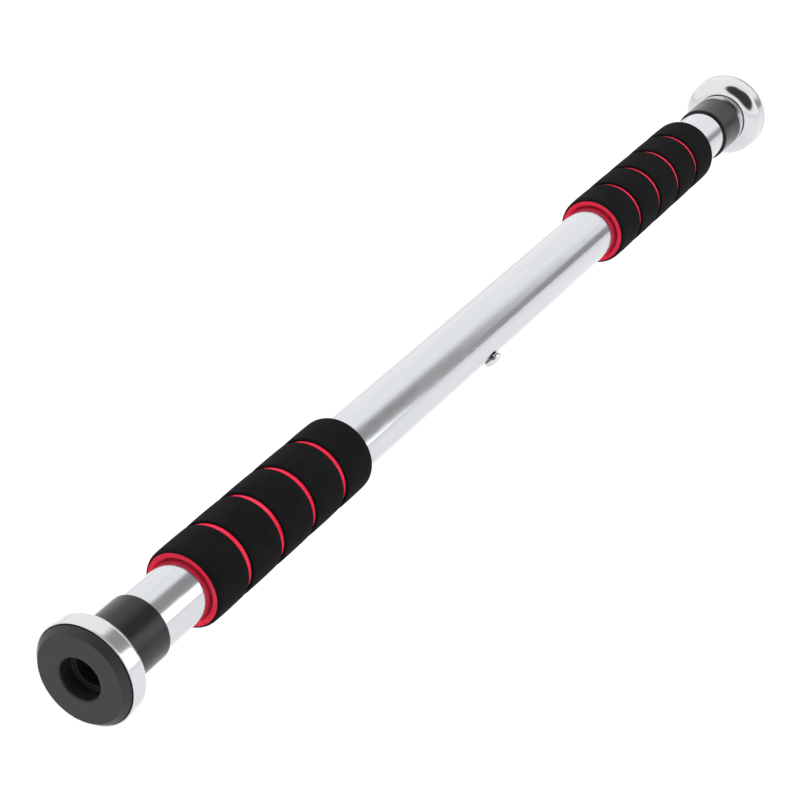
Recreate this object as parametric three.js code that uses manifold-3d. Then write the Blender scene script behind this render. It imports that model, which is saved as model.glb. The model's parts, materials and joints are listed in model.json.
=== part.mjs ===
// A doorway pull up bar that is jammed between the two jambs of a door frame.
//
// One plated steel tube carries two foam grips. A hollow screw stands in a nut in each end of
// the tube, one with a right-hand thread and one with a left-hand thread, and carries a pressed
// steel cup with a rubber pad. A hexagon bar through the middle of the tube slides in a key bush
// in each screw, so both screws turn together. With the pads held by the door frame, turning the
// tube drives both ends outwards. A domed screw at the middle of the tube presses a brass shoe on
// the hexagon bar's sleeve and locks it.
//
// Millimetres. X runs along the bar and Z is up. The origin is on the tube's axis, halfway between
// the two pad faces. The bar is drawn at its shortest, where the left end is screwed home and the
// right end stands a little out, because the two screws don't start on the same thread.

import * as THREE from 'three';
import { mergeVertices } from 'three/addons/utils/BufferGeometryUtils.js';
import Module from 'manifold-3d';

const wasm = await Module();
wasm.setup();

// Overall sizes
const closedLength = 739.4; // pad face to pad face at the shortest
const rightEndOut = 4.8; // how much further out the right end stands than the left one
const travelPerEnd = 120; // how far each end screws out
const tubeRadius = 16;
const tubeWall = 1.5;

// Gaps
const seatGap = 0.3; // between two pieces that are fixed to each other
const runningGap = 0.3; // between a turning or sliding piece and what guides it
const closedGap = 0.8; // between the cup and the collar at the shortest
const stopGap = 2; // between the stop ring and the nut at full travel

// Pads and cups
const padRadius = 25.4;
const padThickness = 12.3; // of the disc, without its boss
const padProud = 3.9; // how far the disc stands out of the cup
const padSlopeWidth = 2.6; // the slope round the disc's face
const padSlopeDepth = 3.2;
const padHoleRadius = 11;
const padHoleLip = 1.2;
const padBossRadius = 14; // the boss on the disc's back, which seats on the cup's floor
const cupWall = 0.9;
const cupDepth = 15.5; // from the lip to the back of the floor
const cupRimDepth = 9.2; // the part round the pad, in front of the slope down to the neck
const cupRimTaper = 0.5; // how much narrower the rim is at the slope than at the lip
const cupSlopeBulge = 0.9; // how far the slope curves out past a straight cone
const cupHoleRadius = 7.5;
const cupBackRing = 2.3; // the flat ring on the cup's back, between the neck and the slope
const neckLength = 5.6; // the short neck that turns inside the collar's nose
const neckWall = 0.8;

// End collars
const collarWall = 1.1;
const collarNoseLength = 8; // the part in front of the tube's end
const collarNoseWall = 0.9;
const collarSleeveLength = 16.3; // the part over the tube
const collarEdgeBevel = 0.7;

// Screws, nuts and what slides in them
const spindleRadius = 11;
const spindleWall = 3;
const nutLength = 30;
const nutRecess = 1;
const stopRingLength = 8;
const stopRingGap = 0.8; // between the stop ring and the inside of the tube
const keyBushLength = 30;
const keyEngagement = 20; // bar left in the key bush at full travel

// Hexagon bar and the bearing at the middle of the tube
const hexAcrossFlats = 10;
const sleeveWall = 2.4; // over the hexagon's corners
const sleeveLength = 60;
const bushLength = 44;
const ringThickness = 1.5;
const ringReach = 2.5; // how far the ring stands out past the sleeve
const ringGrooveDepth = 0.9;
const ringOpening = Math.PI / 3;

// Lock screw
const screwPlace = -3; // from the middle of the tube
const screwTilt = THREE.MathUtils.degToRad(40.8); // below level, on the -Y side
const screwRadius = 3;
const screwHoleGap = 0.4;
const screwHeadRadius = 5.6;
const screwHeadHeight = 3.1;
const socketAcrossFlats = 4;
const socketDepth = 1.9;
const washerRadius = 4.7;
const washerThickness = 0.6;
const shoeLength = 2.5;

// Grips
const gripLength = 140;
const bareTube = { left: 34, right: 30.5 }; // from collar to grip, each pushed on by hand
const gripCoreWall = 3.3; // red inner foam
const gripSkin = 1.3; // black outer foam
const bandsPerGrip = 5;
const grooveWidth = 3.5;
const bandEdgeRound = 0.9;
const gripEndRound = 1.5;

// How finely round shapes are drawn
const roundSegments = 32;
const smallSegments = 20;
const bandEdgeSteps = 1;
const cupSlopeSteps = 3;

// Places along the bar, from the middle of the tube to an end that is screwed home
const padFace = (closedLength - rightEndOut) / 2;
const padBack = padFace - padThickness;
const cupLip = padFace - padProud;
const cupShoulder = cupLip - cupRimDepth;
const cupBack = cupLip - cupDepth;
const cupFloor = cupBack + cupWall;
const neckEnd = cupBack - neckLength;
const collarNose = cupBack - closedGap;
const tubeEnd = collarNose - collarNoseLength - seatGap;
const collarEnd = tubeEnd - collarSleeveLength;
const nutOuterEnd = tubeEnd - nutRecess;
const nutInnerEnd = nutOuterEnd - nutLength;
const spindleOuterEnd = cupBack - seatGap;
const spindleInnerEnd = nutInnerEnd - travelPerEnd - rightEndOut - stopGap - stopRingLength;
const lockBarEnd = spindleInnerEnd + travelPerEnd + rightEndOut + keyEngagement;

// Radii that follow from the sizes above
const tubeBore = tubeRadius - tubeWall;
const insideTube = tubeBore - seatGap;
const stopRingRadius = tubeBore - stopRingGap;
const cupInside = padRadius + seatGap;
const cupRadius = cupInside + cupWall;
const collarBore = tubeRadius + seatGap;
const collarRadius = collarBore + collarWall;
const collarNoseInside = collarRadius - collarNoseWall;
const neckRadius = collarNoseInside - runningGap;
const neckInside = neckRadius - neckWall;
const cupSlopeStart = neckRadius + cupBackRing;
const nutBore = spindleRadius + runningGap;
const spindleBore = spindleRadius - spindleWall;
const keyHoleAcrossFlats = hexAcrossFlats + 2 * runningGap;
const sleeveHoleAcrossFlats = hexAcrossFlats + 2 * seatGap;
const sleeveRadius = acrossCorners(sleeveHoleAcrossFlats) / 2 + sleeveWall;
const gripCoreRadius = tubeRadius + seatGap + gripCoreWall;
const gripSkinInside = gripCoreRadius + seatGap;
const gripRadius = gripSkinInside + gripSkin;
const screwHoleRadius = screwRadius + screwHoleGap;
const shoeRadius = screwHoleRadius - runningGap;

const steel = { color: 0xc9ccd0, roughness: 0.3, metalness: 1 };
const tubePlate = { color: 0xdfe1e4, roughness: 0.22, metalness: 1 };
const chrome = { color: 0xe6e7e8, roughness: 0.12, metalness: 1 };
const brass = { color: 0xb08d45, roughness: 0.4, metalness: 1 };
const padRubber = { color: 0x3e4144, roughness: 0.75, metalness: 0 };
const collarPlastic = { color: 0x2c2d30, roughness: 0.4, metalness: 0 };
const bearingPlastic = { color: 0xd8d6cd, roughness: 0.5, metalness: 0 };
const blackFoam = { color: 0x222224, roughness: 0.95, metalness: 0 };
const redFoam = { color: 0xd2143a, roughness: 0.9, metalness: 0 };

// A named piece with a material of its own.
function piece(name, geometry, finish) {
  const mesh = new THREE.Mesh(geometry, new THREE.MeshStandardMaterial(finish));
  mesh.name = name;
  return mesh;
}

// Turns an outline of [place along the axis, radius] points about X.
function lathe(outline, segments) {
  const points = outline.map(([along, radius]) => new THREE.Vector2(radius, along));
  return new THREE.LatheGeometry(points, segments).rotateZ(-Math.PI / 2);
}

// A ring about X. The outline runs once round its section.
function turnedRing(outline, segments = roundSegments) {
  return lathe([...outline, outline[0]], segments);
}

function plainRing(from, to, inside, outside, segments = roundSegments) {
  return turnedRing([[from, inside], [from, outside], [to, outside], [to, inside]], segments);
}

// Points of a quarter round about a centre, with the angle measured from +X towards the outside.
function quarterRound(along, radius, size, startAngle, endAngle, steps) {
  return Array.from({ length: steps + 1 }, (_, step) => {
    const angle = THREE.MathUtils.lerp(startAngle, endAngle, step / steps);
    return [along + size * Math.cos(angle), radius + size * Math.sin(angle)];
  });
}

function acrossCorners(acrossFlats) {
  return acrossFlats / Math.cos(Math.PI / 6);
}

// A prism along X with a regular hexagon section.
function hexagonPrism(from, to, acrossFlats) {
  const corner = acrossCorners(acrossFlats) / 2;
  const prism = new THREE.CylinderGeometry(corner, corner, to - from, 6);
  return prism.rotateZ(-Math.PI / 2).translate((from + to) / 2, 0, 0);
}

function toSolid(geometry) {
  const plain = geometry.clone();
  plain.deleteAttribute('normal');
  plain.deleteAttribute('uv');
  const merged = mergeVertices(plain);
  return new wasm.Manifold(new wasm.Mesh({
    numProp: 3,
    vertProperties: new Float32Array(merged.attributes.position.array),
    triVerts: new Uint32Array(merged.index.array),
  }));
}

// What is left of a body once the cutter is taken away.
function cut(body, cutter) {
  const result = toSolid(body).subtract(toSolid(cutter)).getMesh();
  const geometry = new THREE.BufferGeometry();
  geometry.setAttribute('position', new THREE.BufferAttribute(result.vertProperties, 3));
  geometry.setIndex(new THREE.BufferAttribute(result.triVerts, 1));
  geometry.computeVertexNormals();
  return geometry;
}

// The round hole that the lock screw goes through, from the axis outwards.
function lockScrewHole() {
  const depth = tubeRadius + tubeWall;
  const drill = new THREE.CylinderGeometry(screwHoleRadius, screwHoleRadius, depth, smallSegments);
  return drill.translate(0, -depth / 2, 0).rotateX(screwTilt).translate(screwPlace, 0, 0);
}

function makeTube() {
  const tube = plainRing(-tubeEnd, tubeEnd, tubeBore, tubeRadius);
  return piece('main_tube', cut(tube, lockScrewHole()), tubePlate);
}

function makeCentreBush() {
  const half = bushLength / 2;
  const bush = plainRing(-half, half, sleeveRadius + runningGap, insideTube);
  return piece('centre_bush', cut(bush, lockScrewHole()), bearingPlastic);
}

// The sleeve that the hexagon bar is swaged into, with a groove for the ring at each end.
function makeLockSleeve() {
  const half = sleeveLength / 2;
  const grooveStart = bushLength / 2 + runningGap;
  const grooveEnd = grooveStart + ringThickness + 2 * runningGap;
  const groove = sleeveRadius - ringGrooveDepth;
  const sleeve = lathe([
    [-half, 0],
    [-half, sleeveRadius],
    [-grooveEnd, sleeveRadius],
    [-grooveEnd, groove],
    [-grooveStart, groove],
    [-grooveStart, sleeveRadius],
    [grooveStart, sleeveRadius],
    [grooveStart, groove],
    [grooveEnd, groove],
    [grooveEnd, sleeveRadius],
    [half, sleeveRadius],
    [half, 0],
  ], smallSegments);
  const barHole = hexagonPrism(-half - 1, half + 1, sleeveHoleAcrossFlats);
  return piece('lock_sleeve', cut(sleeve, barHole), steel);
}

// An open spring ring in the sleeve's groove, on the end that side is +1 or -1 for.
function makeRetainingRing(name, side) {
  const inside = sleeveRadius - ringGrooveDepth + seatGap;
  const outside = sleeveRadius + ringReach;
  const shape = new THREE.Shape();
  shape.absarc(0, 0, outside, ringOpening / 2, 2 * Math.PI - ringOpening / 2, false);
  shape.absarc(0, 0, inside, 2 * Math.PI - ringOpening / 2, ringOpening / 2, true);
  shape.closePath();
  const ring = new THREE.ExtrudeGeometry(shape, {
    depth: ringThickness,
    bevelEnabled: false,
    curveSegments: smallSegments,
  });
  const middle = side * (bushLength / 2 + 2 * runningGap + ringThickness / 2);
  ring.translate(0, 0, -ringThickness / 2).rotateY(Math.PI / 2).translate(middle, 0, 0);
  return piece(name, ring, steel);
}

// The black outer foam between two places, with its outer edges rounded.
function gripBand(name, from, to, roundFrom, roundTo) {
  const steps = bandEdgeSteps;
  return piece(name, turnedRing([
    [from, gripSkinInside],
    ...quarterRound(from + roundFrom, gripRadius - roundFrom, roundFrom, Math.PI, Math.PI / 2, steps),
    ...quarterRound(to - roundTo, gripRadius - roundTo, roundTo, Math.PI / 2, 0, steps),
    [to, gripSkinInside],
  ]), blackFoam);
}

// A grip lies on the +X side here. Its bands are counted outwards from the middle of the bar.
function makeGrip(side) {
  const grip = new THREE.Group();
  const end = collarEnd - bareTube[side];
  const start = end - gripLength;
  const core = plainRing(start, end, tubeRadius + seatGap, gripCoreRadius);
  grip.add(piece(`grip_core_${side}`, core, redFoam));
  const pitch = (gripLength + grooveWidth) / bandsPerGrip;
  for (let band = 0; band < bandsPerGrip; band++) {
    const from = start + band * pitch;
    const roundFrom = band === 0 ? gripEndRound : bandEdgeRound;
    const roundTo = band === bandsPerGrip - 1 ? gripEndRound : bandEdgeRound;
    const name = `grip_band_${side}_${band + 1}`;
    grip.add(gripBand(name, from, from + pitch - grooveWidth, roundFrom, roundTo));
  }
  return grip;
}

// A moulded cap over the tube's end, with a floor and a nose that the cup's neck turns in.
function makeCollar(name) {
  const edgeRadius = collarRadius - collarEdgeBevel;
  const noseFloor = neckEnd - closedGap;
  return piece(name, turnedRing([
    [collarEnd, collarBore],
    [collarEnd, edgeRadius],
    [collarEnd + collarEdgeBevel, collarRadius],
    [collarNose - collarEdgeBevel, collarRadius],
    [collarNose, edgeRadius],
    [collarNose, collarNoseInside],
    [noseFloor, collarNoseInside],
    [noseFloor, nutBore],
    [tubeEnd + seatGap, nutBore],
    [tubeEnd + seatGap, collarBore],
  ]), collarPlastic);
}

// Points of a shallow arc between two points, that stands out by the bulge at its middle.
function bulgedLine([fromAlong, fromRadius], [toAlong, toRadius], bulge, steps) {
  const along = toAlong - fromAlong;
  const across = toRadius - fromRadius;
  const length = Math.hypot(along, across);
  return Array.from({ length: steps + 1 }, (_, step) => {
    const share = step / steps;
    const out = bulge * 4 * share * (1 - share);
    return [
      fromAlong + along * share - out * across / length,
      fromRadius + across * share + out * along / length,
    ];
  });
}

// A pressed cup: a floor, a slope up to a rim round the pad, and a neck inside the collar's nose.
function makeCup(name) {
  const shoulderRadius = cupRadius - cupRimTaper;
  const slope = [[cupBack, cupSlopeStart], [cupShoulder, shoulderRadius]];
  const slopeRise = shoulderRadius - cupSlopeStart;
  const wallAlong = cupWall * Math.hypot(cupShoulder - cupBack, slopeRise) / slopeRise;
  const insideSlope = slope.map(([along, radius]) => [along + wallAlong, radius]);
  return piece(name, turnedRing([
    [cupFloor, cupHoleRadius],
    [cupBack, cupHoleRadius],
    [cupBack, neckInside],
    [neckEnd, neckInside],
    [neckEnd, neckRadius],
    [cupBack, neckRadius],
    ...bulgedLine(...slope, cupSlopeBulge, cupSlopeSteps),
    [cupLip, cupRadius],
    [cupLip, cupInside],
    [cupShoulder + wallAlong, cupInside],
    ...bulgedLine(...insideSlope, cupSlopeBulge, cupSlopeSteps).reverse().slice(1),
    [cupFloor, cupSlopeStart],
  ]), chrome);
}

// A rubber disc with a slope round its face, and a boss on its back that the hole goes through.
function makePad(name) {
  const bossEnd = cupFloor + seatGap;
  return piece(name, turnedRing([
    [bossEnd, padHoleRadius],
    [bossEnd, padBossRadius],
    [padBack, padBossRadius],
    [padBack, padRadius],
    [padFace - padSlopeDepth, padRadius],
    [padFace - padSlopeDepth / 4, padRadius - padSlopeWidth / 2],
    [padFace, padRadius - padSlopeWidth],
    [padFace, padHoleRadius + padHoleLip],
    [padFace - padHoleLip, padHoleRadius],
  ]), padRubber);
}

// A hexagon hole through a short round bush that is pressed into the screw's inner end.
function makeKeyBush(name) {
  const end = spindleInnerEnd + keyBushLength;
  const outside = spindleBore - seatGap;
  const bush = lathe(
    [[spindleInnerEnd, 0], [spindleInnerEnd, outside], [end, outside], [end, 0]], smallSegments);
  const hole = hexagonPrism(spindleInnerEnd - 1, end + 1, keyHoleAcrossFlats);
  return piece(name, cut(bush, hole), steel);
}

// Everything at one end of the bar, drawn on the +X side. What turns stands out by the given much.
function makeEnd(side, out) {
  const end = new THREE.Group();
  const nut = plainRing(nutInnerEnd, nutOuterEnd, nutBore, insideTube);
  end.add(piece(`end_nut_${side}`, nut, steel), makeCollar(`end_collar_${side}`));
  const spindle = plainRing(spindleInnerEnd, spindleOuterEnd, spindleBore, spindleRadius);
  const stopInside = spindleRadius + seatGap;
  const stopEnd = spindleInnerEnd + stopRingLength;
  const stopRing = plainRing(spindleInnerEnd, stopEnd, stopInside, stopRingRadius);
  const turning = new THREE.Group();
  turning.position.x = out;
  turning.add(
    piece(`spindle_${side}`, spindle, steel),
    piece(`stop_ring_${side}`, stopRing, steel),
    makeCup(`cup_${side}`),
    makePad(`pad_${side}`),
    makeKeyBush(`key_bush_${side}`),
  );
  end.add(turning);
  return end;
}

// The lock screw, its washer and its shoe, drawn standing out along +X and then turned into place.
function makeLock() {
  const lock = new THREE.Group();
  const shoeStart = sleeveRadius + seatGap;
  const shoeEnd = shoeStart + shoeLength;
  const shoe = lathe(
    [[shoeStart, 0], [shoeStart, shoeRadius], [shoeEnd, shoeRadius], [shoeEnd, 0]], smallSegments);
  const washerStart = tubeRadius + seatGap / 2;
  const washerEnd = washerStart + washerThickness;
  const washer = plainRing(washerStart, washerEnd, screwHoleRadius, washerRadius, smallSegments);
  const headStart = washerEnd + seatGap / 2;
  const headTop = headStart + screwHeadHeight;
  const screw = lathe([
    [shoeEnd + seatGap, 0],
    [shoeEnd + seatGap, screwRadius],
    [headStart, screwRadius],
    [headStart, screwHeadRadius],
    [headStart + screwHeadHeight * 0.35, screwHeadRadius],
    [headStart + screwHeadHeight * 0.75, screwHeadRadius * 0.86],
    [headTop, screwHeadRadius * 0.55],
    [headTop, 0],
  ], smallSegments);
  const socket = hexagonPrism(headTop - socketDepth, headTop + 1, socketAcrossFlats);
  lock.add(
    piece('lock_shoe', shoe, brass),
    piece('lock_washer', washer, steel),
    piece('lock_screw', cut(screw, socket), chrome),
  );
  lock.rotation.set(screwTilt, 0, -Math.PI / 2);
  lock.position.x = screwPlace;
  return lock;
}

const bar = new THREE.Group();
bar.position.x = -rightEndOut / 2;
bar.add(
  makeTube(),
  makeCentreBush(),
  makeLockSleeve(),
  makeRetainingRing('retaining_ring_left', -1),
  makeRetainingRing('retaining_ring_right', 1),
  piece('lock_bar', hexagonPrism(-lockBarEnd, lockBarEnd, hexAcrossFlats), steel),
  makeLock(),
);
for (const [side, turn, out] of [['left', Math.PI, 0], ['right', 0, rightEndOut]]) {
  const half = new THREE.Group();
  half.rotation.z = turn;
  half.add(makeGrip(side), makeEnd(side, out));
  bar.add(half);
}

const group = new THREE.Group();
group.add(bar);

export default group;
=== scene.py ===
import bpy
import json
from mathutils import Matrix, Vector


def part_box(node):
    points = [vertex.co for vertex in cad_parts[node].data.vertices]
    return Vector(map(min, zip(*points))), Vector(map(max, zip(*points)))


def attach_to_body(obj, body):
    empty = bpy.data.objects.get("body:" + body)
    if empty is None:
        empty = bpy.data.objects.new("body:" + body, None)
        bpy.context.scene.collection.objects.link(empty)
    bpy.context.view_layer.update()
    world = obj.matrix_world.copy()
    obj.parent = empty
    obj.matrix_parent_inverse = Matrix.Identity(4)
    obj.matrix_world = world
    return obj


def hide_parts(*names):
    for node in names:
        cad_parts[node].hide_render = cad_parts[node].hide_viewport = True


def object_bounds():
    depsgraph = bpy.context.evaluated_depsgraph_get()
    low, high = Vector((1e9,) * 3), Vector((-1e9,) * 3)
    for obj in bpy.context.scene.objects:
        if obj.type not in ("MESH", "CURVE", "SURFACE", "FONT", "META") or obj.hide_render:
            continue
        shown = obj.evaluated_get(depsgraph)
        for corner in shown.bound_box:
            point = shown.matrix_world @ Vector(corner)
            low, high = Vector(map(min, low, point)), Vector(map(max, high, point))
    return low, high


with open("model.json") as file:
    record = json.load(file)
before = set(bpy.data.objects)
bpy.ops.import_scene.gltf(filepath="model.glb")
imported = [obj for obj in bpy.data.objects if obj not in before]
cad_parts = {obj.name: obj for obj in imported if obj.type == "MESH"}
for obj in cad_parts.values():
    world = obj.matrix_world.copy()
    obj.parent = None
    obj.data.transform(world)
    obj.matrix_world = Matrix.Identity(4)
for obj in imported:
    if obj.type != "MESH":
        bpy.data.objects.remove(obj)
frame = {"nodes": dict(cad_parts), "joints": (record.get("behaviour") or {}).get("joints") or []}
cadBounds = [list(corner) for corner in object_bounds()]

import json
import math

import bmesh
import bpy
from mathutils import Matrix, Vector

mm = 0.001
sides = ("left", "right")
print("frame loaded:", len(frame["nodes"]), "nodes")


def hexColor(code):
    # an sRGB hex value as linear red, green, blue and alpha
    parts = [int(code[i:i + 2], 16) / 255 for i in (1, 3, 5)]
    return [p / 12.92 if p <= 0.04045 else ((p + 0.055) / 1.055) ** 2.4 for p in parts] + [1.0]


def addNode(tree, kind, settings=None, links=None, stops=None):
    # settings are the node's own properties, links its sockets (a value, or a node and its output),
    # and stops a color ramp's places and colors
    node = tree.nodes.new(kind)
    for key, value in (settings or {}).items():
        setattr(node, key, value)
    for key, value in (links or {}).items():
        socket = node.inputs[key]
        if isinstance(value, tuple) and isinstance(value[0], bpy.types.Node):
            tree.links.new(value[0].outputs[value[1]], socket)
        else:
            socket.default_value = value
    for i, (place, color) in enumerate(stops or []):
        elements = node.color_ramp.elements
        element = elements[i] if i < 2 else elements.new(place)
        element.position = place
        element.color = color
    return node


def newMaterial(name):
    material = bpy.data.materials.new(name)
    material.use_nodes = True
    tree = material.node_tree
    tree.nodes.clear()
    return material, tree


def endMaterial(tree, surface):
    addNode(tree, "ShaderNodeOutputMaterial", links={"Surface": (surface, 0)})


cameraValues = {
    "place": (-0.98864, -0.51168, 0.59328), "aim": (-0.0389, 0.0273, -0.0321), "focalLength": 101.475,
    "sensorWidth": 36.0, "nearest": 0.05, "furthest": 30.0,
}
floorValues = {"size": 24.0, "color": "#F7F7F8", "drop": 0.16, "roughness": 0.9, "specular": 0.15}
worldValues = {
    "brightness": 1.15,
    # each patch covers the directions that are past all its edges: a direction and where, by the
    # cosine to it, the patch starts and is full
    "patches": {
        "darkGap": {"brightness": 0.36, "edges": [
            ((-0.577, -0.663, 0.477), -0.03, 0.09), ((1.0, 0.0, 0.0), 0.40, 0.55)]},
        "lowGap": {"brightness": 0.36, "edges": [
            ((0.0, 0.0, -1.0), -0.34, -0.16), ((0.0, -1.0, 0.0), 0.40, 0.50),
            ((1.0, 0.0, 0.0), 0.70, 0.76)]},
        "sidePanel": {"brightness": 1.55, "edges": [
            ((-0.632, -0.771, -0.077), 0.02, 0.05), ((1.0, 0.0, 0.0), 0.10, 0.25)]},
        "stripLight": {"brightness": 3.0, "edges": [
            ((-0.632, -0.771, -0.077), 0.04, 0.07), ((0.632, 0.771, 0.077), -0.14, -0.10),
            ((1.0, 0.0, 0.0), 0.40, 0.55)]},
        # the dark room over and behind the camera
        "ceiling": {"brightness": 0.05, "edges": [((-0.60, -0.20, 0.775), 0.88, 0.93)]},
        "room": {"brightness": 0.05, "edges": [((-0.57, -0.55, 0.61), 0.84, 0.91)]},
    },
}
lightValues = {
    "overhead": {"place": (0.0, -0.15, 1.9), "size": 2.6, "power": 20.0},
}


def makeCamera(values):
    camera = bpy.data.objects.new("camera", bpy.data.cameras.new("camera"))
    camera.data.lens = values["focalLength"]
    camera.data.sensor_width = values["sensorWidth"]
    camera.data.clip_start = values["nearest"]
    camera.data.clip_end = values["furthest"]
    camera.location = values["place"]
    look = Vector(values["aim"]) - Vector(values["place"])
    camera.rotation_euler = look.to_track_quat("-Z", "Y").to_euler()
    bpy.context.scene.collection.objects.link(camera)
    bpy.context.scene.camera = camera


def makeFloor(values):
    lowest = cadBounds[0][2] - values["drop"]
    half = values["size"] / 2
    mesh = bpy.data.meshes.new("studioFloor")
    corners = [(x, y, lowest) for x, y in ((-half, -half), (half, -half), (half, half), (-half, half))]
    mesh.from_pydata(corners, [], [(0, 1, 2, 3)])
    floor = bpy.data.objects.new("studioFloor", mesh)
    bpy.context.scene.collection.objects.link(floor)
    material, tree = newMaterial("studioPaper")  # matt pale paper, even and without gloss
    shader = addNode(tree, "ShaderNodeBsdfPrincipled", links={
        "Base Color": hexColor(values["color"]), "Roughness": values["roughness"],
        "Specular IOR Level": values["specular"]})
    endMaterial(tree, shader)
    mesh.materials.append(material)


def makeWorld(values):
    world = bpy.data.worlds.new("studio")
    world.use_nodes = True
    tree = world.node_tree
    tree.nodes.clear()
    direction = addNode(tree, "ShaderNodeTexCoord")
    light = addNode(tree, "ShaderNodeValue")
    light.outputs[0].default_value = values["brightness"]
    for patch in values["patches"].values():
        share = None
        for toward, start, full in patch["edges"]:
            cosine = addNode(tree, "ShaderNodeVectorMath", {"operation": "DOT_PRODUCT"}, {
                0: (direction, "Generated"), 1: toward})
            edge = addNode(tree, "ShaderNodeMapRange", {"interpolation_type": "SMOOTHSTEP"}, {
                "Value": (cosine, "Value"), "From Min": start, "From Max": full})
            share = edge if share is None else addNode(tree, "ShaderNodeMath", {"operation": "MULTIPLY"}, {
                0: (share, 0), 1: (edge, 0)})
        light = addNode(tree, "ShaderNodeMix", {"data_type": "FLOAT"}, {
            "Factor": (share, 0), "A": (light, 0), "B": patch["brightness"]})
    background = addNode(tree, "ShaderNodeBackground", links={
        "Color": (1.0, 1.0, 1.0, 1.0), "Strength": (light, 0)})
    addNode(tree, "ShaderNodeOutputWorld", links={"Surface": (background, 0)})
    bpy.context.scene.world = world


def makeLights(values):
    for name, light in values.items():
        data = bpy.data.lights.new(name, "AREA")
        data.energy = light["power"]
        data.shape = "SQUARE"
        data.size = light["size"]
        lamp = bpy.data.objects.new(name, data)
        lamp.location = light["place"]
        lamp.rotation_euler = (-lamp.location).to_track_quat("-Z", "Y").to_euler()
        lamp.visible_glossy = False  # the chrome shows only the world's own panels
        bpy.context.scene.collection.objects.link(lamp)


makeCamera(cameraValues)
makeFloor(floorValues)
makeWorld(worldValues)
makeLights(lightValues)
bpy.context.scene.view_settings.view_transform = "Standard"
print("camera, floor and lights placed")


noiseLow, noiseHigh = 0.3, 0.7  # nearly all of a noise texture's values lie between these


def stretch(length, width):
    # a pattern's scale from its real size along the bar and across it
    return (1 / length, 1 / width, 1 / width)


def drawnPlatedTube(values):
    # Steel tube, drawn and then bright nickel-chromed. The draw lines run along it and the plating
    # follows them, so its long reflections have faintly ragged edges.
    material, tree = newMaterial("drawnPlatedTube")
    place = addNode(tree, "ShaderNodeTexCoord")
    along = addNode(tree, "ShaderNodeMapping", links={
        "Vector": (place, "Object"), "Scale": stretch(values["lineLength"], values["lineWidth"])})
    lines = addNode(tree, "ShaderNodeTexNoise", links={
        "Vector": (along, 0), "Scale": 1.0, "Detail": 3.0, "Roughness": 0.55})
    ripple = addNode(tree, "ShaderNodeMapping", links={
        "Vector": (place, "Object"), "Scale": stretch(values["rippleLength"], values["rippleWidth"])})
    waves = addNode(tree, "ShaderNodeTexNoise", links={
        "Vector": (ripple, 0), "Scale": 1.0, "Detail": 4.0, "Roughness": 0.6})
    fine = addNode(tree, "ShaderNodeBump", links={
        "Height": (lines, 0), "Strength": values["lineStrength"], "Distance": values["lineDepth"]})
    broad = addNode(tree, "ShaderNodeBump", links={
        "Height": (waves, 0), "Strength": values["rippleStrength"], "Distance": values["rippleDepth"],
        "Normal": (fine, 0)})
    haze = addNode(tree, "ShaderNodeMapRange", links={
        "Value": (waves, 0), "From Min": noiseLow, "From Max": noiseHigh,
        "To Min": values["smoothest"], "To Max": values["roughest"]})
    tint = addNode(tree, "ShaderNodeValToRGB", links={"Fac": (lines, 0)}, stops=[
        (noiseLow, hexColor(values["shade"])), (noiseHigh, hexColor(values["color"]))])
    shader = addNode(tree, "ShaderNodeBsdfPrincipled", links={
        "Base Color": (tint, 0), "Metallic": 1.0, "Roughness": (haze, 0), "Normal": (broad, 0)})
    endMaterial(tree, shader)
    return material


def polishedChrome(values):
    # Pressed steel, polished and chromed. The press leaves very faint rings and the polish a haze.
    material, tree = newMaterial("polishedChrome")
    place = addNode(tree, "ShaderNodeTexCoord")
    cloud = addNode(tree, "ShaderNodeTexNoise", links={
        "Vector": (place, "Object"), "Scale": 1 / values["cloudSize"], "Detail": 3.0})
    scuff = addNode(tree, "ShaderNodeTexNoise", links={
        "Vector": (place, "Object"), "Scale": 1 / values["scuffSize"], "Detail": 5.0, "Roughness": 0.7})
    haze = addNode(tree, "ShaderNodeMapRange", links={
        "Value": (scuff, 0), "From Min": 0.35, "From Max": 0.7,
        "To Min": values["smoothest"], "To Max": values["roughest"]})
    bump = addNode(tree, "ShaderNodeBump", links={
        "Height": (cloud, 0), "Strength": values["waveStrength"], "Distance": values["waveDepth"]})
    shader = addNode(tree, "ShaderNodeBsdfPrincipled", links={
        "Base Color": hexColor(values["color"]), "Metallic": 1.0, "Roughness": (haze, 0),
        "Normal": (bump, 0)})
    endMaterial(tree, shader)
    return material


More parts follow.
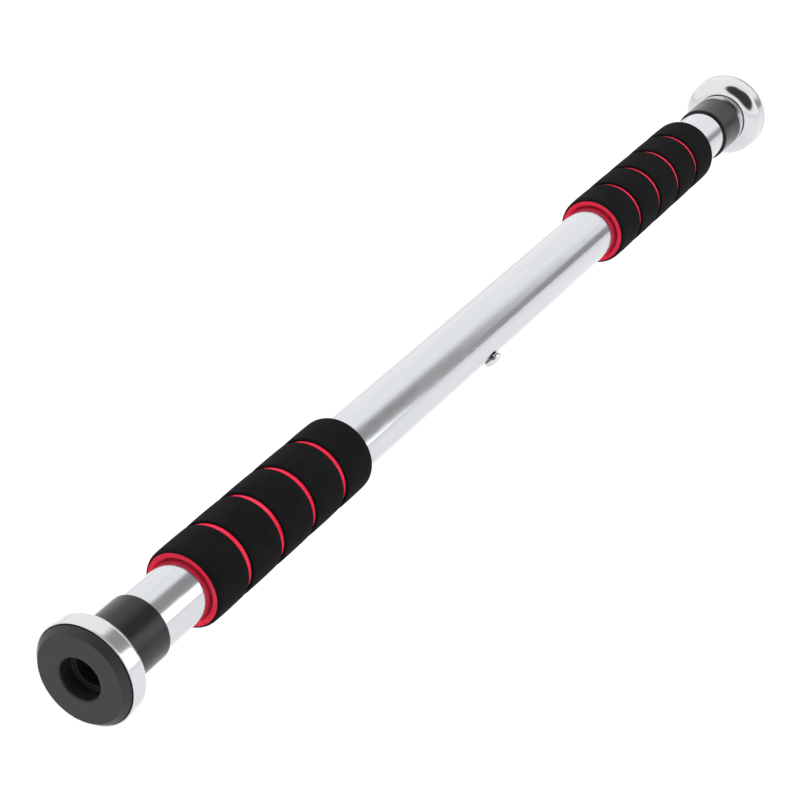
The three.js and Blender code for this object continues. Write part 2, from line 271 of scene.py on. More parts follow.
def foam(name, values):
    # Closed-cell nitrile foam, ground to size. Its cut cells make a dull, finely pored skin.
    # Real cells are about 0.2 mm; they are drawn about three times as large so that they show.
    material, tree = newMaterial(name)
    place = addNode(tree, "ShaderNodeTexCoord")
    cells = addNode(tree, "ShaderNodeTexVoronoi", links={
        "Vector": (place, "Object"), "Scale": 1 / values["cellSize"], "Randomness": 1.0})
    pits = addNode(tree, "ShaderNodeTexNoise", links={
        "Vector": (place, "Object"), "Scale": 1 / values["pitSize"], "Detail": 4.0, "Roughness": 0.65})
    patches = addNode(tree, "ShaderNodeTexNoise", links={
        "Vector": (place, "Object"), "Scale": 1 / values["patchSize"], "Detail": 2.0})
    cellBump = addNode(tree, "ShaderNodeBump", links={
        "Height": (cells, "Distance"), "Strength": values["cellStrength"],
        "Distance": values["cellDepth"]})
    pitBump = addNode(tree, "ShaderNodeBump", links={
        "Height": (pits, 0), "Strength": values["pitStrength"], "Distance": values["pitDepth"],
        "Normal": (cellBump, 0)})
    speckle = addNode(tree, "ShaderNodeMix", {"data_type": "FLOAT"}, {
        "Factor": 0.4, "A": (pits, 0), "B": (patches, 0)})
    color = addNode(tree, "ShaderNodeValToRGB", links={"Fac": (speckle, 0)}, stops=[
        (0.36, hexColor(values["shade"])), (0.66, hexColor(values["light"])),
        (0.5, hexColor(values["color"]))])
    shader = addNode(tree, "ShaderNodeBsdfPrincipled", links={
        "Base Color": (color, 0), "Roughness": values["roughness"],
        "Specular IOR Level": values["specular"], "Sheen Weight": values["sheen"],
        "Sheen Roughness": 0.5, "Normal": (pitBump, 0)})
    endMaterial(tree, shader)
    return material


def mouldedRubber(values):
    # Moulded natural rubber, matt from the spark-eroded mould, with a little bloom in patches.
    material, tree = newMaterial("mouldedRubber")
    place = addNode(tree, "ShaderNodeTexCoord")
    grain = addNode(tree, "ShaderNodeTexNoise", links={
        "Vector": (place, "Object"), "Scale": 1 / values["grainSize"], "Detail": 5.0, "Roughness": 0.6})
    bloom = addNode(tree, "ShaderNodeTexNoise", links={
        "Vector": (place, "Object"), "Scale": 1 / values["bloomSize"], "Detail": 3.0})
    bump = addNode(tree, "ShaderNodeBump", links={
        "Height": (grain, 0), "Strength": values["grainStrength"], "Distance": values["grainDepth"]})
    color = addNode(tree, "ShaderNodeValToRGB", links={"Fac": (bloom, 0)}, stops=[
        (0.35, hexColor(values["shade"])), (0.65, hexColor(values["color"]))])
    dull = addNode(tree, "ShaderNodeMapRange", links={
        "Value": (grain, 0), "From Min": noiseLow, "From Max": noiseHigh,
        "To Min": values["smoothest"], "To Max": values["roughest"]})
    shader = addNode(tree, "ShaderNodeBsdfPrincipled", links={
        "Base Color": (color, 0), "Roughness": (dull, 0), "Specular IOR Level": values["specular"],
        "Normal": (bump, 0)})
    endMaterial(tree, shader)
    return material


def mouldedPolyethylene(values):
    # Injection-moulded polyethylene from a polished mould: a soft gloss with a faint flow texture.
    material, tree = newMaterial("mouldedPolyethylene")
    place = addNode(tree, "ShaderNodeTexCoord")
    flow = addNode(tree, "ShaderNodeMapping", links={
        "Vector": (place, "Object"), "Scale": stretch(values["flowLength"], values["flowWidth"])})
    lines = addNode(tree, "ShaderNodeTexNoise", links={
        "Vector": (flow, 0), "Scale": 1.0, "Detail": 4.0, "Roughness": 0.6})
    grain = addNode(tree, "ShaderNodeTexNoise", links={
        "Vector": (place, "Object"), "Scale": 1 / values["grainSize"], "Detail": 4.0, "Roughness": 0.6})
    bump = addNode(tree, "ShaderNodeBump", links={
        "Height": (grain, 0), "Strength": values["grainStrength"], "Distance": values["grainDepth"]})
    gloss = addNode(tree, "ShaderNodeMapRange", links={
        "Value": (lines, 0), "From Min": noiseLow, "From Max": noiseHigh,
        "To Min": values["smoothest"], "To Max": values["roughest"]})
    color = addNode(tree, "ShaderNodeValToRGB", links={"Fac": (lines, 0)}, stops=[
        (noiseLow, hexColor(values["shade"])), (noiseHigh, hexColor(values["color"]))])
    shader = addNode(tree, "ShaderNodeBsdfPrincipled", links={
        "Base Color": (color, 0), "Roughness": (gloss, 0), "Specular IOR Level": values["specular"],
        "Normal": (bump, 0)})
    endMaterial(tree, shader)
    return material


def turnedMetal(name, values):
    # Bar stock turned or cut on a lathe. The tool leaves fine rings round the axis.
    material, tree = newMaterial(name)
    place = addNode(tree, "ShaderNodeTexCoord")
    rings = addNode(tree, "ShaderNodeMapping", links={
        "Vector": (place, "Object"), "Scale": stretch(values["ringSpacing"], values["blotchSize"])})
    cuts = addNode(tree, "ShaderNodeTexNoise", links={
        "Vector": (rings, 0), "Scale": 1.0, "Detail": 3.0, "Roughness": 0.5})
    oil = addNode(tree, "ShaderNodeTexNoise", links={
        "Vector": (place, "Object"), "Scale": 1 / values["blotchSize"], "Detail": 4.0})
    bump = addNode(tree, "ShaderNodeBump", links={
        "Height": (cuts, 0), "Strength": values["ringStrength"], "Distance": values["ringDepth"]})
    haze = addNode(tree, "ShaderNodeMapRange", links={
        "Value": (oil, 0), "From Min": noiseLow, "From Max": noiseHigh,
        "To Min": values["smoothest"], "To Max": values["roughest"]})
    color = addNode(tree, "ShaderNodeValToRGB", links={"Fac": (oil, 0)}, stops=[
        (0.35, hexColor(values["shade"])), (0.65, hexColor(values["color"]))])
    shader = addNode(tree, "ShaderNodeBsdfPrincipled", links={
        "Base Color": (color, 0), "Metallic": values["metallic"], "Roughness": (haze, 0),
        "Normal": (bump, 0)})
    endMaterial(tree, shader)
    return material


materials = {
    "tube": drawnPlatedTube({
        "color": "#D4D6D9", "shade": "#CFD1D4", "smoothest": 0.11, "roughest": 0.16,
        "lineLength": 60 * mm, "lineWidth": 1.1 * mm, "lineStrength": 0.02, "lineDepth": 0.05 * mm,
        "rippleLength": 9 * mm, "rippleWidth": 3.5 * mm, "rippleStrength": 0.07, "rippleDepth": 0.12 * mm}),
    "chrome": polishedChrome({
        "color": "#D6D7D9", "smoothest": 0.10, "roughest": 0.16, "cloudSize": 14 * mm,
        "scuffSize": 1.6 * mm, "waveStrength": 0.10, "waveDepth": 0.15 * mm}),
    "blackFoam": foam("groundBlackFoam", {
        "color": "#131314", "shade": "#0E0E0F", "light": "#19191A", "roughness": 0.95, "specular": 0.10,
        "sheen": 0.0, "cellSize": 0.6 * mm, "cellStrength": 0.35, "cellDepth": 0.12 * mm,
        "pitSize": 1.1 * mm, "pitStrength": 0.30, "pitDepth": 0.15 * mm, "patchSize": 18 * mm}),
    "redFoam": foam("groundRedFoam", {
        "color": "#F6304F", "shade": "#EA2443", "light": "#FF4A68", "roughness": 0.9, "specular": 0.15,
        "sheen": 0.0, "cellSize": 0.6 * mm, "cellStrength": 0.30, "cellDepth": 0.10 * mm,
        "pitSize": 1.0 * mm, "pitStrength": 0.25, "pitDepth": 0.12 * mm, "patchSize": 14 * mm}),
    "rubber": mouldedRubber({
        "color": "#26282B", "shade": "#212326", "specular": 0.42, "smoothest": 0.42, "roughest": 0.55,
        "grainSize": 0.5 * mm, "grainStrength": 0.20, "grainDepth": 0.06 * mm, "bloomSize": 9 * mm}),
    "collar": mouldedPolyethylene({
        "color": "#141518", "shade": "#0F1012", "specular": 0.35, "smoothest": 0.20, "roughest": 0.26,
        "flowLength": 14 * mm, "flowWidth": 3 * mm, "grainSize": 0.5 * mm, "grainStrength": 0.10,
        "grainDepth": 0.03 * mm}),
    "steel": turnedMetal("turnedZincedSteel", {
        "color": "#C6CACD", "shade": "#A9AEB2", "metallic": 1.0, "smoothest": 0.22, "roughest": 0.38,
        "ringSpacing": 0.4 * mm, "blotchSize": 7 * mm, "ringStrength": 0.25, "ringDepth": 0.04 * mm}),
    "brass": turnedMetal("turnedBrass", {
        "color": "#C9A45A", "shade": "#B08A43", "metallic": 1.0, "smoothest": 0.25, "roughest": 0.40,
        "ringSpacing": 0.3 * mm, "blotchSize": 2 * mm, "ringStrength": 0.2, "ringDepth": 0.03 * mm}),
    "acetal": turnedMetal("turnedAcetal", {
        "color": "#E4E1D8", "shade": "#D8D4C9", "metallic": 0.0, "smoothest": 0.40, "roughest": 0.55,
        "ringSpacing": 0.6 * mm, "blotchSize": 8 * mm, "ringStrength": 0.2, "ringDepth": 0.04 * mm}),
    "springSteel": turnedMetal("blackenedSpringSteel", {
        "color": "#4A4C50", "shade": "#36383B", "metallic": 1.0, "smoothest": 0.30, "roughest": 0.45,
        "ringSpacing": 0.8 * mm, "blotchSize": 3 * mm, "ringStrength": 0.15, "ringDepth": 0.03 * mm}),
}
print("materials made:", len(materials))


holdingShare = 0.3  # of the fillet's reach, or of the room beside it where that is less


def filleted(corners, steps=6):
    # corners go round a ring's section as (along, radius, fillet). Each fillet becomes an arc, with a
    # holding point just past each of its ends that keeps the shading of the flats flat.
    places = [Vector(corner[:2]) for corner in corners]
    count = len(corners)
    sides = []
    for i, (here, (_, _, fillet)) in enumerate(zip(places, corners)):
        before, after = places[i - 1] - here, places[(i + 1) % count] - here
        reach = fillet / math.tan(before.angle(after) / 2) if fillet > 0 else 0
        sides.append((before, after, reach))
    points = []
    for i, (here, (before, after, reach)) in enumerate(zip(places, sides)):
        if not reach:
            points.append(here)
            continue
        beforeRoom = before.length - reach - sides[i - 1][2]
        afterRoom = after.length - reach - sides[(i + 1) % count][2]
        before, after = before.normalized(), after.normalized()
        centre = here + (before + after).normalized() * math.hypot(reach, corners[i][2])
        start = here + before * reach - centre
        sweep = start.angle_signed(here + after * reach - centre)
        points.append(here + before * (reach + min(reach, beforeRoom) * holdingShare))
        for step in range(steps + 1):
            points.append(centre + Matrix.Rotation(-sweep * step / steps, 2) @ start)
        points.append(here + after * (reach + min(reach, afterRoom) * holdingShare))
    return points


def turnedMesh(name, points, turns, isRing=True):
    # turns an outline about X; a ring's outline closes on itself, a solid's ends on the axis
    mesh = bpy.data.meshes.new(name)
    work = bmesh.new()
    rows = []
    for along, radius in points:
        if radius < 1e-9:
            rows.append([work.verts.new((along, 0, 0))])
            continue
        rows.append([work.verts.new((
            along, radius * math.cos(2 * math.pi * k / turns), radius * math.sin(2 * math.pi * k / turns)))
            for k in range(turns)])
    pairs = list(zip(rows, rows[1:])) + ([(rows[-1], rows[0])] if isRing else [])
    for one, two in pairs:
        for k in range(turns):
            after = k + 1
            corners = list(dict.fromkeys((
                one[k % len(one)], one[after % len(one)], two[after % len(two)], two[k % len(two)])))
            if len(corners) > 2:
                work.faces.new(corners)
    bmesh.ops.recalc_face_normals(work, faces=work.faces)
    work.to_mesh(mesh)
    work.free()
    return mesh


def smoothShaded(mesh, angle=32):
    mesh.polygons.foreach_set("use_smooth", [True] * len(mesh.polygons))
    mesh.set_sharp_from_angle(angle=math.radians(angle))


def newPiece(mesh, material):
    piece = bpy.data.objects.new(mesh.name, mesh)
    bpy.context.scene.collection.objects.link(piece)
    mesh.materials.clear()
    mesh.materials.append(material)
    return piece


def attach(piece, body, slot, *nodes):
    smoothShaded(piece.data)
    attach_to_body(piece, body)
    if nodes:
        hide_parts(*nodes)


def toSide(mesh, side):
    # pieces are shaped on the +X end, and the left ones are turned half round Z
    if side == "left":
        mesh.transform(Matrix.Rotation(math.pi, 4, "Z"))


def span(node):
    # how far a node reaches from the bar's middle: its near end, its far end, and its radius
    low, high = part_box(node)
    near, far = sorted((abs(low.x), abs(high.x)))
    return near, far, high.z


def bakeNodes(piece, tree, values):
    # runs a Geometry Nodes tree on a piece and keeps what it makes as the piece's plain mesh
    modifier = piece.modifiers.new("build", "NODES")
    modifier.node_group = tree
    for item in tree.interface.items_tree:
        if item.in_out == "INPUT" and item.name in values:
            modifier[item.identifier] = values[item.name]
    depsgraph = bpy.context.evaluated_depsgraph_get()
    made = bpy.data.meshes.new_from_object(piece.evaluated_get(depsgraph))
    piece.modifiers.remove(modifier)
    made.name = piece.name
    piece.data = made


def newTree(name, inputs):
    tree = bpy.data.node_groups.new(name, "GeometryNodeTree")
    tree.interface.new_socket("Geometry", in_out="INPUT", socket_type="NodeSocketGeometry")
    for label, kind, value in inputs:
        socket = tree.interface.new_socket(label, in_out="INPUT", socket_type=f"NodeSocket{kind}")
        if value is not None:
            socket.default_value = value
    tree.interface.new_socket("Geometry", in_out="OUTPUT", socket_type="NodeSocketGeometry")
    return tree, addNode(tree, "NodeGroupInput")


def endTree(tree, start, geometry):
    real = addNode(tree, "GeometryNodeRealizeInstances", links={"Geometry": geometry})
    painted = addNode(tree, "GeometryNodeSetMaterial", links={
        "Geometry": (real, 0), "Material": (start, "Material")})
    addNode(tree, "NodeGroupOutput", links={"Geometry": (painted, 0)})
    return tree


tubeValues = {
    "wall": 1.5 * mm, "turns": 192, "endFillet": 0.4 * mm, "holeRadius": 3.4 * mm, "holeZone": 6 * mm,
    "holeTurns": 48,
}


def lockTurn():
    # takes a shape that stands out along X at the origin to the lock screw's place and direction
    joint = next(j for j in frame["joints"] if j["name"] == "lock_screw_turn")
    low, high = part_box("lock_screw")
    turn = Vector((1, 0, 0)).rotation_difference(Vector(joint["axis"])).to_matrix().to_4x4()
    return Matrix.Translation(((low.x + high.x) / 2, 0, 0)) @ turn


def cutAway(piece, mesh):
    cutter = newPiece(mesh, piece.data.materials[0])
    modifier = piece.modifiers.new("cut", "BOOLEAN")
    modifier.object = cutter
    modifier.operation = "DIFFERENCE"
    modifier.solver = "EXACT"
    made = bpy.data.meshes.new_from_object(piece.evaluated_get(bpy.context.evaluated_depsgraph_get()))
    piece.modifiers.remove(modifier)
    bpy.data.objects.remove(cutter)
    made.name = piece.name
    piece.data = made


def makeTube(values):
    low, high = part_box("main_tube")
    radius = high.z
    bore = radius - values["wall"]
    fillet = values["endFillet"]
    turn = lockTurn()
    left, right = [turn.translation.x + way * values["holeZone"] for way in (-1, 1)]
    outline = filleted([
        (low.x, bore, fillet), (low.x, radius, fillet), (left, radius, 0), (right, radius, 0),
        (high.x, radius, fillet), (high.x, bore, fillet), (right, bore, 0), (left, bore, 0)], steps=3)
    tube = newPiece(turnedMesh("platedTube", outline, values["turns"]), materials["tube"])
    near, far, hole = radius / 2, radius * 1.5, values["holeRadius"]
    drill = turnedMesh("drill", [Vector(p) for p in (
        (near, 0), (near, hole), (far, hole), (far, 0))], values["holeTurns"], isRing=False)
    drill.transform(turn)
    cutAway(tube, drill)
    attach(tube, "bar", "plated_tube", "main_tube")


makeTube(tubeValues)
print("tube made")


gripValues = {
    "turns": 144, "edgeRound": 0.9 * mm, "endRoundLength": 3.6 * mm, "skin": 1.5 * mm, "crown": 0.12 * mm,
    "mouthDepth": 1.6 * mm, "mouthWidth": 1.1 * mm, "handWobble": 0.10 * mm, "wobbleSize": 9 * mm,
    "edgeSteps": 8, "crownSteps": 8, "endSteps": 12, "coreGap": 0.02 * mm, "bandGap": 0.05 * mm,
    "mouthEdge": 0.5 * mm, "coreEdge": 0.25 * mm,
}


def bandTree():
    # the bands of one grip: a line of copies, with the slight unevenness of hand grinding
    tree, start = newTree("foamBands", [
        ("Count", "Int", 3), ("Pitch", "Float", 0.028), ("First Place", "Float", 0.1),
        ("Wobble", "Float", 0.0001), ("Wobble Size", "Float", 0.01), ("Seed", "Float", 0.0),
        ("Material", "Material", None)])
    step = addNode(tree, "ShaderNodeCombineXYZ", links={"X": (start, "Pitch")})
    first = addNode(tree, "ShaderNodeCombineXYZ", links={"X": (start, "First Place")})
    line = addNode(tree, "GeometryNodeMeshLine", {"mode": "OFFSET"}, {
        "Count": (start, "Count"), "Start Location": (first, 0), "Offset": (step, 0)})
    copies = addNode(tree, "GeometryNodeInstanceOnPoints", links={
        "Points": (line, 0), "Instance": (start, "Geometry")})
    real = addNode(tree, "GeometryNodeRealizeInstances", links={"Geometry": (copies, 0)})
    uneven = wobble(tree, start, (real, 0))
    return endTree(tree, start, (uneven, 0))


def wobble(tree, start, geometry):
    size = addNode(tree, "ShaderNodeMath", {"operation": "DIVIDE"}, {0: 1.0, 1: (start, "Wobble Size")})
    place = addNode(tree, "GeometryNodeInputPosition")
    field = addNode(tree, "ShaderNodeTexNoise", {"noise_dimensions": "4D"}, {
        "Vector": (place, 0), "W": (start, "Seed"), "Scale": (size, 0), "Detail": 2.0})
    centred = addNode(tree, "ShaderNodeVectorMath", {"operation": "SUBTRACT"}, {
        0: (field, "Color"), 1: (0.5, 0.5, 0.5)})
    push = addNode(tree, "ShaderNodeVectorMath", {"operation": "SCALE"}, {
        0: (centred, 0), "Scale": (start, "Wobble")})
    return addNode(tree, "GeometryNodeSetPosition", links={"Geometry": geometry, "Offset": (push, 0)})


def bandOutline(near, far, inside, outside, values, endRound):
    # a band's section: flat inside, crowned outside, its edges rounded; endRound is the grip's own end
    edge = values["edgeRound"]
    edgeSteps, crownSteps, endSteps = values["edgeSteps"], values["crownSteps"], values["endSteps"]
    points = [Vector((near, inside))]
    for step in range(edgeSteps + 1):
        angle = math.pi - step / edgeSteps * math.pi / 2
        points.append(Vector((near + edge + edge * math.cos(angle),
                              outside - edge + edge * math.sin(angle))))
    farRound = endRound or edge
    farDrop = values["skin"] if endRound else edge
    flat = far - farRound - near - edge
    for step in range(1, crownSteps):
        share = step / crownSteps
        points.append(Vector((near + edge + flat * share,
                              outside + values["crown"] * math.sin(math.pi * share))))
    for step in range(endSteps + 1):
        angle = math.pi / 2 * (1 - step / endSteps)
        points.append(Vector((far - farRound + farRound * math.cos(angle),
                              outside - farDrop + farDrop * math.sin(angle))))
    if not endRound:
        points.append(Vector((far, inside)))
    return points


def makeGrip(side, values, tree):
    core = f"grip_core_{side}"
    bands = [f"grip_band_{side}_{i}" for i in range(1, 6)]
    near, far = span(core)[:2]
    tubeRadius = span("main_tube")[2]
    spans = [span(band) for band in bands]
    outside = spans[0][2] - values["crown"]
    inside = outside - values["skin"]
    pitch = spans[1][0] - spans[0][0]
    width = spans[0][1] - spans[0][0]
    sign = 1 if side == "right" else -1

    # the outer and inner end bands are rounded over towards the grip's ends
    endRound = values["endRoundLength"]
    endBand = turnedMesh(f"foamEndBand_{side}_outer", bandOutline(
        spans[4][0], spans[4][1], inside, outside, values, endRound), values["turns"])
    innerPoints = [Vector((spans[0][0] + spans[0][1] - p.x, p.y)) for p in bandOutline(
        spans[0][0], spans[0][1], inside, outside, values, endRound)]
    innerBand = turnedMesh(f"foamEndBand_{side}_inner", innerPoints, values["turns"])
    middle = turnedMesh(f"foamBands_{side}", bandOutline(
        -width / 2, width / 2, inside, outside, values, 0), values["turns"])
    common = {"Pitch": pitch, "Wobble": values["handWobble"], "Wobble Size": values["wobbleSize"],
              "Material": materials["blackFoam"]}
    for mesh, count, first, seed, nodes in (
            (endBand, 1, 0.0, 1.0, bands[4:]),
            (innerBand, 1, 0.0, 2.0, bands[:1]),
            (middle, 3, (spans[1][0] + spans[1][1]) / 2, 3.0, bands[1:4])):
        piece = newPiece(mesh, materials["blackFoam"])
        bakeNodes(piece, tree, {**common, "Count": count, "First Place": first, "Seed": seed + sign})
        toSide(piece.data, side)
        attach(piece, "bar", "black_foam", *nodes)

    # the red inner foam runs the whole length and is dished where it meets the tube
    mouth, lip = values["mouthWidth"], values["mouthDepth"]
    bore = tubeRadius + values["coreGap"]
    skinSeat = inside - values["bandGap"]
    mouthEdge, coreEdge = values["mouthEdge"], values["coreEdge"]
    outline = filleted([
        (near + lip, bore, 0), (near, bore + mouth, mouthEdge), (near, skinSeat, coreEdge),
        (far, skinSeat, coreEdge), (far, bore + mouth, mouthEdge), (far - lip, bore, 0)], steps=5)
    inner = newPiece(turnedMesh(f"foamCore_{side}", outline, values["turns"]), materials["redFoam"])
    toSide(inner.data, side)
    attach(inner, "bar", "red_foam", core)


foamTree = bandTree()
for side in sides:
    makeGrip(side, gripValues, foamTree)
print("foam grips made")


collarValues = {
    "turns": 128, "bore": 11.3 * mm, "tubeGap": 0.04 * mm, "sleeveEdge": 0.8 * mm, "noseEdge": 0.7 * mm,
    "smallEdge": 0.15 * mm, "tubeSeat": 0.3 * mm, "noseWall": 0.9 * mm, "noseFloor": 5.6 * mm,
}
cupValues = {
    "turns": 192, "wall": 0.9 * mm, "neckWall": 0.8 * mm, "neck": 16.2 * mm, "depth": 15.5 * mm,
    "slopeStart": 18.5 * mm, "rimDepth": 9.2 * mm, "taper": 0.5 * mm, "bulge": 0.9 * mm,
    "slopeSteps": 8, "hole": 7.5 * mm, "beadWidth": 1.2 * mm, "grooveDepth": 0.35 * mm,
    "beadFillet": 0.4 * mm, "shoulderFillet": 1.8 * mm, "neckFillet": 0.7 * mm, "smallFillet": 0.2 * mm,
}
padValues = {
    "turns": 160, "thickness": 12.3 * mm, "boss": 14 * mm, "hole": 11 * mm, "stepDepth": 9 * mm,
    "stepHole": 8.6 * mm, "holeLip": 1.0 * mm, "slopeWidth": 2.6 * mm, "slopeDepth": 3.2 * mm,
    "slopeFillet": 0.7 * mm, "smallFillet": 0.4 * mm,
}


def makeCollar(side, values):
    near, far, radius = span(f"end_collar_{side}")
    low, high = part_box("main_tube")
    seat = (high.x if side == "right" else -low.x) + values["tubeSeat"]
    bore = high.z + values["tubeGap"]
    small = values["smallEdge"]
    noseFloor = far - values["noseFloor"]
    noseInside = radius - values["noseWall"]
    outline = filleted([
        (near, bore, small), (near, radius, values["sleeveEdge"]), (far, radius, values["noseEdge"]),
        (far, noseInside, small), (noseFloor, noseInside, small), (noseFloor, values["bore"], small),
        (seat, values["bore"], small), (seat, bore, small)], steps=6)
    collar = newPiece(turnedMesh(f"endCollar_{side}", outline, values["turns"]), materials["collar"])
    toSide(collar.data, side)
    attach(collar, "bar", "collar_plastic", f"end_collar_{side}")


def bulged(start, end, bulge, steps):
    # corners along a shallow arc that stands out from the straight line by the bulge
    line = end - start
    out = Vector((-line.y, line.x)).normalized() * bulge
    shares = [step / steps for step in range(1, steps)]
    return [(*(start + line * share + out * 4 * share * (1 - share)), 0) for share in shares]


def makeCup(side, values):
    neckEnd, lip, radius = span(f"cup_{side}")
    wall = values["wall"]
    back = lip - values["depth"]
    shoulder = lip - values["rimDepth"]
    inside = radius - wall
    neck = values["neck"]
    neckInside = neck - values["neckWall"]
    small, bead = values["smallFillet"], values["beadFillet"]
    start = Vector((back, values["slopeStart"]))
    end = Vector((shoulder, radius - values["taper"]))
    inward = Vector((end.y - start.y, start.x - end.x)).normalized() * wall
    slope = bulged(start, end, values["bulge"], values["slopeSteps"])
    innerSlope = bulged(start + inward, end + inward, values["bulge"], values["slopeSteps"])[1:-1]
    groove = lip - values["beadWidth"]
    grooveRadius = radius - values["grooveDepth"]
    outline = filleted([
        (back + wall, values["hole"], small), (back, values["hole"], small), (back, neckInside, 0),
        (neckEnd, neckInside, small), (neckEnd, neck, small), (back, neck, values["neckFillet"]),
        (back, start.y, 0), *slope,
        (shoulder, end.y, values["shoulderFillet"]), (groove - bead, grooveRadius, bead / 2),
        (groove, grooveRadius, bead / 2), (groove + bead / 2, radius, bead / 2), (lip, radius, bead),
        (lip, inside, bead), (shoulder + inward.x, inside, 0), *reversed(innerSlope),
        (back + wall, start.y, 0)], steps=6)
    cup = newPiece(turnedMesh(f"chromedCup_{side}", outline, values["turns"]), materials["chrome"])
    toSide(cup.data, side)
    attach(cup, f"{side}_end", "chromed_cup", f"cup_{side}")


def makePad(side, values):
    bossEnd, face, radius = span(f"pad_{side}")
    back = face - values["thickness"]
    step = face - values["stepDepth"]
    small = values["smallFillet"]
    outline = filleted([
        (bossEnd, values["stepHole"], 0), (bossEnd, values["boss"], small), (back, values["boss"], small),
        (back, radius, small), (face - values["slopeDepth"], radius, values["slopeFillet"]),
        (face, radius - values["slopeWidth"], values["slopeFillet"]),
        (face, values["hole"], values["holeLip"]), (step, values["hole"], small),
        (step, values["stepHole"], small)], steps=8)
    pad = newPiece(turnedMesh(f"rubberPad_{side}", outline, values["turns"]), materials["rubber"])
    toSide(pad.data, side)
    attach(pad, f"{side}_end", "pad_rubber", f"pad_{side}")


for side in sides:
    makeCollar(side, collarValues)
    makeCup(side, cupValues)
    makePad(side, padValues)
print("collars, cups and pads made")


threadSection = {"base": 0.72, "crest": 0.30}  # widths of the thread, as shares of its pitch
threadValues = {
    "pitch": 4 * mm, "depth": 1.3 * mm, "pointsPerTurn": 40, "wall": 3 * mm, "turns": 96,
    "plainEnd": 4 * mm, "runOut": 1 * mm, "innerEdge": 0.3 * mm, "threadEdge": 0.6 * mm,
    "smallEdge": 0.2 * mm,
}
lockValues = {
    "pitch": 1 * mm, "depth": 0.45 * mm, "pointsPerTurn": 32, "radius": 3 * mm, "head": 5.6 * mm,
    "headHeight": 3.1 * mm, "rimHeight": 0.6 * mm, "underEdge": 0.25 * mm, "domeSteps": 18, "domeEnd": 1.36,
    "socketFlats": 4 * mm, "socketDepth": 1.9 * mm, "turns": 96, "tipLength": 0.6 * mm, "runOut": 1 * mm,
    "tipNarrowing": 0.8,
}


def threadTree():
    # a trapezium swept along a helix about X and laid on the screw's core, for either hand of thread
    tree, start = newTree("screwThread", [
        ("Radius", "Float", 0.011), ("Depth", "Float", 0.0013), ("Pitch", "Float", 0.004),
        ("Length", "Float", 0.1), ("First Place", "Float", 0.0), ("Points Per Turn", "Int", 32),
        ("Left Hand", "Bool", False), ("Material", "Material", None)])

    def calculate(operation, a, b):
        return addNode(tree, "ShaderNodeMath", {"operation": operation}, {0: a, 1: b})

    halfDepth = calculate("MULTIPLY", (start, "Depth"), 0.5)
    middle = calculate("SUBTRACT", (start, "Radius"), (halfDepth, 0))
    rounds = calculate("DIVIDE", (start, "Length"), (start, "Pitch"))
    helix = addNode(tree, "GeometryNodeCurveSpiral", links={
        "Resolution": (start, "Points Per Turn"), "Rotations": (rounds, 0), "Start Radius": (middle, 0),
        "End Radius": (middle, 0), "Height": (start, "Length"), "Reverse": (start, "Left Hand")})
    upright = addNode(tree, "GeometryNodeSetCurveNormal", {"mode": "Z_UP"}, {"Curve": (helix, 0)})
    base = calculate("MULTIPLY", (start, "Pitch"), threadSection["base"])
    crest = calculate("MULTIPLY", (start, "Pitch"), threadSection["crest"])
    section = addNode(tree, "GeometryNodeCurvePrimitiveQuadrilateral", {"mode": "TRAPEZOID"}, {
        "Height": (start, "Depth"), "Bottom Width": (base, 0), "Top Width": (crest, 0), "Offset": 0.0})
    turned = addNode(tree, "GeometryNodeTransform", links={
        "Geometry": (section, 0), "Rotation": (0.0, 0.0, math.radians(-90))})
    thread = addNode(tree, "GeometryNodeCurveToMesh", links={
        "Curve": (upright, 0), "Profile Curve": (turned, 0), "Fill Caps": True})
    place = addNode(tree, "ShaderNodeCombineXYZ", links={"X": (start, "First Place")})
    laid = addNode(tree, "GeometryNodeTransform", links={
        "Geometry": (thread, 0), "Rotation": (0.0, math.radians(90), 0.0), "Translation": (place, 0)})
    both = addNode(tree, "GeometryNodeJoinGeometry")
    tree.links.new(laid.outputs[0], both.inputs[0])
    tree.links.new(start.outputs["Geometry"], both.inputs[0])
    return endTree(tree, start, (both, 0))


def makeSpindle(side, values, tree):
    near, far, radius = span(f"spindle_{side}")
    root = radius - values["depth"]
    bore = radius - values["wall"]
    stopEnd = span(f"stop_ring_{side}")[1]
    plain = far - values["plainEnd"]  # the screw is left plain where it is welded to the cup
    inner, small = values["innerEdge"], values["smallEdge"]
    outline = filleted([
        (near, bore, inner), (near, root, inner), (plain, root, inner),
        (plain, radius, values["threadEdge"]), (far, radius, small), (far, bore, small)], steps=3)
    spindle = newPiece(turnedMesh(f"hollowScrew_{side}", outline, values["turns"]), materials["steel"])
    bakeNodes(spindle, tree, {
        "Radius": radius, "Depth": values["depth"], "Pitch": values["pitch"],
        "Length": plain - values["runOut"] - stopEnd, "First Place": stopEnd,
        "Points Per Turn": values["pointsPerTurn"], "Left Hand": side == "left",
        "Material": materials["steel"]})
    toSide(spindle.data, side)
    attach(spindle, f"{side}_end", "plain_steel", f"spindle_{side}")


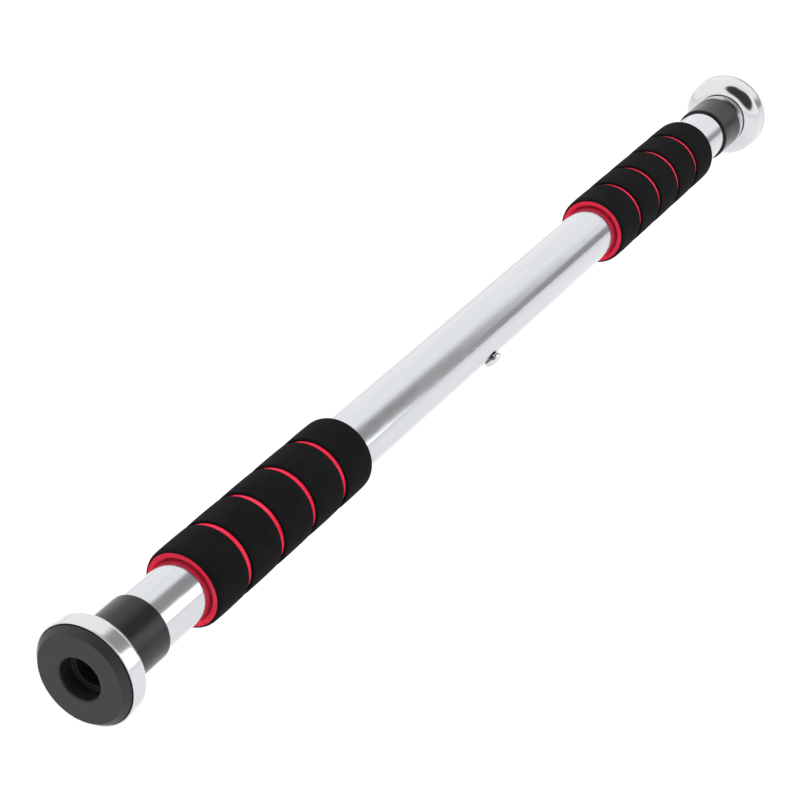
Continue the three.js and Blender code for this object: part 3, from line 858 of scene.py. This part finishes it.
def makeLockScrew(values, tree):
    # shaped standing out along X and then turned to the screw's own direction
    turn = lockTurn()
    direction = turn.to_3x3() @ Vector((1, 0, 0))
    heights = [v.co.dot(direction) for v in frame["nodes"]["lock_screw"].data.vertices]
    tip, top = min(heights), max(heights)
    under = top - values["headHeight"]
    rim = under + values["rimHeight"]
    head, edge = values["head"], values["underEdge"]
    core = values["radius"] - values["depth"]
    neck = tip + values["tipLength"]
    outline = [Vector(p) for p in (
        (tip, 0), (tip, core * values["tipNarrowing"]), (neck, core), (under, core),
        (under, head - edge), (under + edge, head))]
    for step in range(values["domeSteps"]):
        angle = step / (values["domeSteps"] - 1) * values["domeEnd"]
        rise = math.sin(angle) / math.sin(values["domeEnd"])
        outline.append(Vector((rim + (top - rim) * rise, head * math.cos(angle))))
    outline.append(Vector((top, 0)))
    screw = newPiece(turnedMesh("lockScrew", outline, values["turns"], isRing=False), materials["chrome"])
    corner = values["socketFlats"] / 2 / math.cos(math.pi / 6)
    floor, above = top - values["socketDepth"], top + values["socketDepth"]
    cutAway(screw, turnedMesh("hexagonCutter", [Vector(p) for p in (
        (floor, 0), (floor, corner), (above, corner), (above, 0))], 6, isRing=False))
    bakeNodes(screw, tree, {
        "Radius": values["radius"], "Depth": values["depth"], "Pitch": values["pitch"],
        "Length": under - values["runOut"] - neck, "First Place": neck,
        "Points Per Turn": values["pointsPerTurn"], "Left Hand": False, "Material": materials["chrome"]})
    screw.data.transform(turn)
    attach(screw, "screw", "chromed_cup", "lock_screw")


screwTree = threadTree()
for side in sides:
    makeSpindle(side, threadValues, screwTree)
makeLockScrew(lockValues, screwTree)
print("screws made")


# CAD nodes that stay as they are get their own finishes
finishes = {"steel": ["lock_bar", "lock_sleeve"], "brass": ["lock_shoe"], "acetal": ["centre_bush"],
            "springSteel": ["lock_washer"]}
for side in sides:
    finishes["steel"] += [f"end_nut_{side}", f"stop_ring_{side}", f"key_bush_{side}"]
    finishes["springSteel"] += [f"retaining_ring_{side}"]
for finish, nodes in finishes.items():
    for node in nodes:
        mesh = frame["nodes"][node].data
        mesh.materials.clear()
        mesh.materials.append(materials[finish])
print("inner pieces finished")
